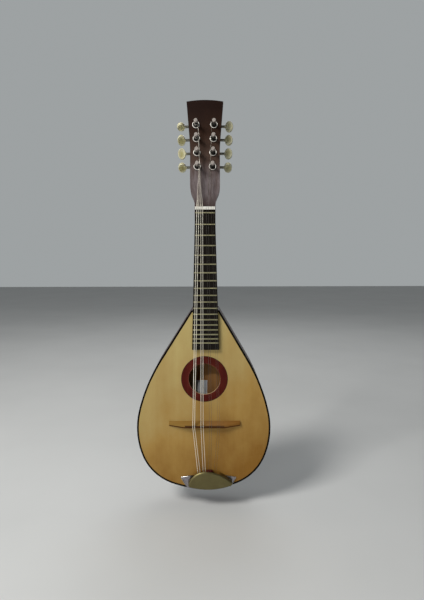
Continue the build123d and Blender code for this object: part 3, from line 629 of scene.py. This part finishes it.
WINDING_HEIGHT = (25.2, 24.4, 23.4, 21.9)
POST_WAIST = 2.3 * MM
BASS_RADII = (0.42, 0.42, 0.5, 0.5)
TREBLE_RADII = (0.2, 0.2, 0.15, 0.15)
THIN_WIRE = 0.3 * MM
TURNS_OF_THICK_WIRE = 2.6
TURNS_OF_THIN_WIRE = 3.6
STEPS_PER_TURN = 28
STUB_STEP = 1.1 * MM
STUB_RISE = 0.12 * MM


def make_windings():
    """The turns of string on each post, with the cut end standing out of the post's hole."""
    for side in SIDES:
        for number in TUNERS:
            origin, outboard, up, out = post_frame(side, number)
            radius = (BASS_RADII if side == "left" else TREBLE_RADII)[number - 1] * MM
            reach = POST_WAIST + radius + 0.02 * MM
            turns = TURNS_OF_THICK_WIRE if radius > THIN_WIRE else TURNS_OF_THIN_WIRE
            pitch = 2.06 * radius
            height = WINDING_HEIGHT[number - 1] * MM
            points = []
            for step in range(int(turns * STEPS_PER_TURN) + 1):
                angle = pi - 2 * pi * step / STEPS_PER_TURN
                level = height - pitch * step / STEPS_PER_TURN
                spoke = outboard * cos(angle) * reach + up * sin(angle) * reach
                points.append(origin + spoke + out * level)
            shape = tube(points, radius)
            stub_level = out * (height + 0.3 * MM)
            start = origin + stub_level + up * (POST_WAIST * 0.6)
            stub = [start + up * (step * STUB_STEP) + out * (step * step * STUB_RISE) for step in range(5)]
            add_part(shape, tube(stub, radius))
            wire, slot = (WOUND, "wound") if side == "left" else (PLAIN, "plain")
            piece(f"string_winding_{side}_{number}", *shape, wire, slot, f"post_{side}_{number}")


# Distance from the plate's middle and height, in millimetres, from the mouth out to the wing's lower end.
WING_RIM = ((27.5, -443.4), (31.5, -443.5), (46.6, -446.2), (47.1, -446.6), (46.9, -447.3), (37.9, -463.0))
WING_RIM_Y = -1.25 * MM
WING_RIM_RADIUS = 0.5 * MM
PLATE_MIDDLE = centre_of("tailpiece_plate").x


def make_wing_rims():
    """The rolled rim of the plate's two wings."""
    for side, sign in (("left", -1), ("right", 1)):
        line = [Vector((PLATE_MIDDLE + sign * x * MM, WING_RIM_Y, z * MM)) for x, z in WING_RIM]
        piece(f"wing_rim_{side}", *tube(line, WING_RIM_RADIUS), NICKEL, "nickel", ROOT)


DAMPER_X = PLATE_MIDDLE + 2.0 * MM
DAMPER_Z = -436.2 * MM
DAMPER_HALF_WIDTH = 5.6 * MM
DAMPER_HALF_LENGTH = 3.0 * MM
DAMPER_CLEAR = 0.03 * MM
DAMPER_SQUARENESS = 0.4
DAMPER_SIDES = 32
# Height in millimetres and share of the full width, from the soundboard outwards.
DAMPER_PROFILE = ((0.0, 0.96), (0.0, 1.0), (2.2, 1.0), (4.0, 0.97), (4.5, 0.90), (4.6, 0.5))


def squared(value):
    """A sine or cosine pushed outwards, which makes a round outline nearly square."""
    return abs(value) ** DAMPER_SQUARENESS * (1 if value >= 0 else -1)


def make_damper():
    """The red-brown block under the strings at the cover's mouth."""
    vertices = []
    for height, reach in DAMPER_PROFILE:
        for step in range(DAMPER_SIDES):
            angle = 2 * pi * step / DAMPER_SIDES
            across = DAMPER_HALF_WIDTH * reach * squared(cos(angle))
            along = DAMPER_HALF_LENGTH * reach * squared(sin(angle))
            vertices.append(Vector((DAMPER_X + across, -DAMPER_CLEAR - height * MM, DAMPER_Z + along)))
    faces = grid_faces(len(DAMPER_PROFILE), DAMPER_SIDES)
    piece("damper_block", vertices, faces, DAMPER, "rosette", ROOT)


def turned(place, profile, around=32):
    """A ring turned about a post's axis from a closed profile of radii and heights in millimetres."""
    origin, outboard, up, out = place
    vertices = []
    for radius, height in profile:
        for step in range(around):
            angle = 2 * pi * step / around
            spoke = outboard * cos(angle) + up * sin(angle)
            vertices.append(origin + spoke * radius * MM + out * height * MM)
    faces = []
    for ring in range(len(profile)):
        first = ring * around
        second = (ring + 1) % len(profile) * around
        for step in range(around):
            ahead = (step + 1) % around
            faces.append((first + step, first + ahead, second + ahead, second + step))
    return vertices, faces


FERRULE_RIM_RADIUS = 5.35
FERRULE_RIM_HEIGHT = 15.6
FERRULE_ROLL = 0.62
ROLL_SIDES = 10
FERRULE_RECESS = ((3.12, 15.5), (3.12, 15.66), (4.2, 15.72), (5.0, 15.68), (5.0, 15.5))


def make_ferrules():
    """Each ferrule's rolled rim in a paler copy of nickel as a painted highlight, and a near-black ring
    inside it as painted shade in the recess.
    """
    rim = []
    for step in range(ROLL_SIDES):
        angle = 2 * pi * step / ROLL_SIDES
        radius = FERRULE_RIM_RADIUS + FERRULE_ROLL * cos(angle)
        rim.append((radius, FERRULE_RIM_HEIGHT + FERRULE_ROLL * sin(angle)))
    for side in SIDES:
        for number in TUNERS:
            place = post_frame(side, number)
            piece(f"ferrule_rim_{side}_{number}", *turned(place, rim), RIM_HIGHLIGHT, "nickel", ROOT)
            # Painted shade: a near-black ring where the ferrule's recess lies in shade.
            recess = turned(place, FERRULE_RECESS)
            piece(f"ferrule_recess_shade_{side}_{number}", *recess, RECESS_SHADE, "nickel", ROOT)


PURFLING_WIDTH = 0.8 * MM
PURFLING_LOW_Y = -0.01 * MM
PURFLING_HIGH_Y = -0.06 * MM
OUTLINE_STEP = 0.3 * MM


def make_purfling():
    """The black line just inside the binding, laid along the soundboard's own outline."""
    centre = Vector((0, 0, (TOP_LOW.z + TOP_HIGH.z) / 2))
    points = []
    for vertex in NODES["soundboard"].data.vertices:
        place = Vector(vertex.co)
        clear = (place - HOLE_CENTRE).length > ROSETTE_RADIUS + 3 * MM
        if clear and abs(place.y) < 0.05 * MM:
            points.append(Vector((place.x, 0, place.z)))
    points.sort(key=lambda point: atan2(point.x - centre.x, point.z - centre.z))
    pairs = zip(points, points[-1:] + points[:-1])
    loop = [point for point, behind in pairs if (point - behind).length > OUTLINE_STEP]
    vertices = []
    for index, point in enumerate(loop):
        run = (loop[(index + 1) % len(loop)] - loop[index - 1]).normalized()
        inward = Vector((run.z, 0, -run.x)) * PURFLING_WIDTH
        if inward.dot(centre - point) < 0:
            inward = -inward
        low = Vector((0, PURFLING_LOW_Y, 0))
        high = Vector((0, PURFLING_HIGH_Y, 0))
        vertices += [point + low, point + high, point + inward + high, point + inward + low]
    count = len(loop)
    faces = []
    for index in range(count):
        first = 4 * index
        second = 4 * ((index + 1) % count)
        for edge in range(4):
            ahead = (edge + 1) % 4
            faces.append((first + edge, first + ahead, second + ahead, second + edge))
    piece("purfling", vertices, faces, BINDING, "binding", ROOT, smooth=False)


# ---------------------------------------------------------------- camera, light and floor
CAMERA_PLACE = (0.01085, -0.689, -0.0748)
CAMERA_PITCH = radians(5.5)
CAMERA_ROLL = radians(-0.14)
CAMERA_LENS = 25.2
SENSOR_WIDTH = 36.0


def linked(name, data):
    obj = bpy.data.objects.new(name, data)
    bpy.context.scene.collection.objects.link(obj)
    return obj


def make_camera():
    data = bpy.data.cameras.new("camera")
    data.sensor_width = SENSOR_WIDTH
    data.lens = CAMERA_LENS
    data.clip_start = 0.01
    camera = linked("camera", data)
    aim = Matrix.Rotation(pi / 2 - CAMERA_PITCH, 4, "X")
    turn = Matrix.Rotation(CAMERA_ROLL, 4, "Z")
    camera.matrix_world = Matrix.Translation(CAMERA_PLACE) @ aim @ turn
    bpy.context.scene.camera = camera


def aimed(heading):
    """The turn that points a light along a heading."""
    return heading.to_track_quat("-Z", "Y").to_euler()


def area_light(name, place, target, size, power, colour):
    data = bpy.data.lights.new(name, "AREA")
    data.shape = "RECTANGLE"
    data.size, data.size_y = size
    data.energy = power
    data.color = colour
    light = linked(name, data)
    light.rotation_euler = aimed(Vector(target) - Vector(place))
    light.location = place


# The cover slides 30 mm below the body, so the floor stands a little lower than that.
FLOOR_DROP = 32 * MM
FLOOR_REACH = 6.0


def make_floor():
    z = CAD_BOX[0].z - FLOOR_DROP
    signs = ((-1, -1), (1, -1), (1, 1), (-1, 1))
    corners = [(x * FLOOR_REACH, y * FLOOR_REACH, z) for x, y in signs]
    mesh = bpy.data.meshes.new("floor")
    mesh.from_pydata(corners, [], [(0, 1, 2, 3)])
    floor = linked("floor", mesh)
    floor.data.materials.append(floor_paint())


ROOM_FRONT = (0.105, 0.105, 0.105, 1)
ROOM_BACK = (0.34, 0.36, 0.365, 1)


def make_world():
    """A studio that is dim in front of the object and bright behind it."""
    world = bpy.data.worlds.new("studio")
    world.use_nodes = True
    tree = world.node_tree
    background = tree.nodes["Background"]
    direction = tree.nodes.new("ShaderNodeTexCoord").outputs["Generated"]
    parts = tree.nodes.new("ShaderNodeSeparateXYZ")
    tree.links.new(direction, parts.inputs["Vector"])
    depth = tree.nodes.new("ShaderNodeMapRange")
    tree.links.new(parts.outputs["Y"], depth.inputs["Value"])
    depth.inputs["From Min"].default_value = -0.3
    depth.inputs["From Max"].default_value = 0.6
    room = tree.nodes.new("ShaderNodeMix")
    room.data_type = "RGBA"
    room.inputs[6].default_value = ROOM_FRONT
    room.inputs[7].default_value = ROOM_BACK
    tree.links.new(depth.outputs["Result"], room.inputs[0])
    tree.links.new(room.outputs[2], background.inputs["Color"])
    background.inputs["Strength"].default_value = 1.0
    bpy.context.scene.world = world
    bpy.context.scene.view_settings.view_transform = "Standard"


# From the beam's lamp to the middle of the soundhole.
BEAM_PATH = Vector((0.20, 0.85, -0.50))


def make_beam():
    """A narrow light through the soundhole, onto the label and the inside of the back."""
    data = bpy.data.lights.new("beam", "SPOT")
    data.energy = 14
    data.spot_size = radians(3.4)
    data.spot_blend = 0.35
    data.shadow_soft_size = 0.01
    lamp = linked("beam", data)
    lamp.location = HOLE_CENTRE - BEAM_PATH
    lamp.rotation_euler = aimed(BEAM_PATH)


def make_lights():
    """Soft light from the upper left, a weak one low in front, and one behind for the edges."""
    area_light("key", (-1.1, -1.0, 1.15), (0, 0, -0.2), (0.6, 0.6), 34, (1.0, 0.98, 0.94))
    area_light("low", (-0.7, -1.5, -0.1), (0, 0, -0.2), (0.5, 0.7), 5.5, (0.96, 0.98, 1.0))
    make_beam()
    area_light("rim", (0.3, 1.5, 1.2), (0, 0, -0.1), (1.4, 1.0), 7.5, (1.0, 1.0, 1.0))


paint_frame()
make_buttons()
make_windings()
make_wing_rims()
make_damper()
make_ferrules()
make_purfling()
make_camera()
make_floor()
make_world()
make_lights()

bpy.context.view_layer.update()
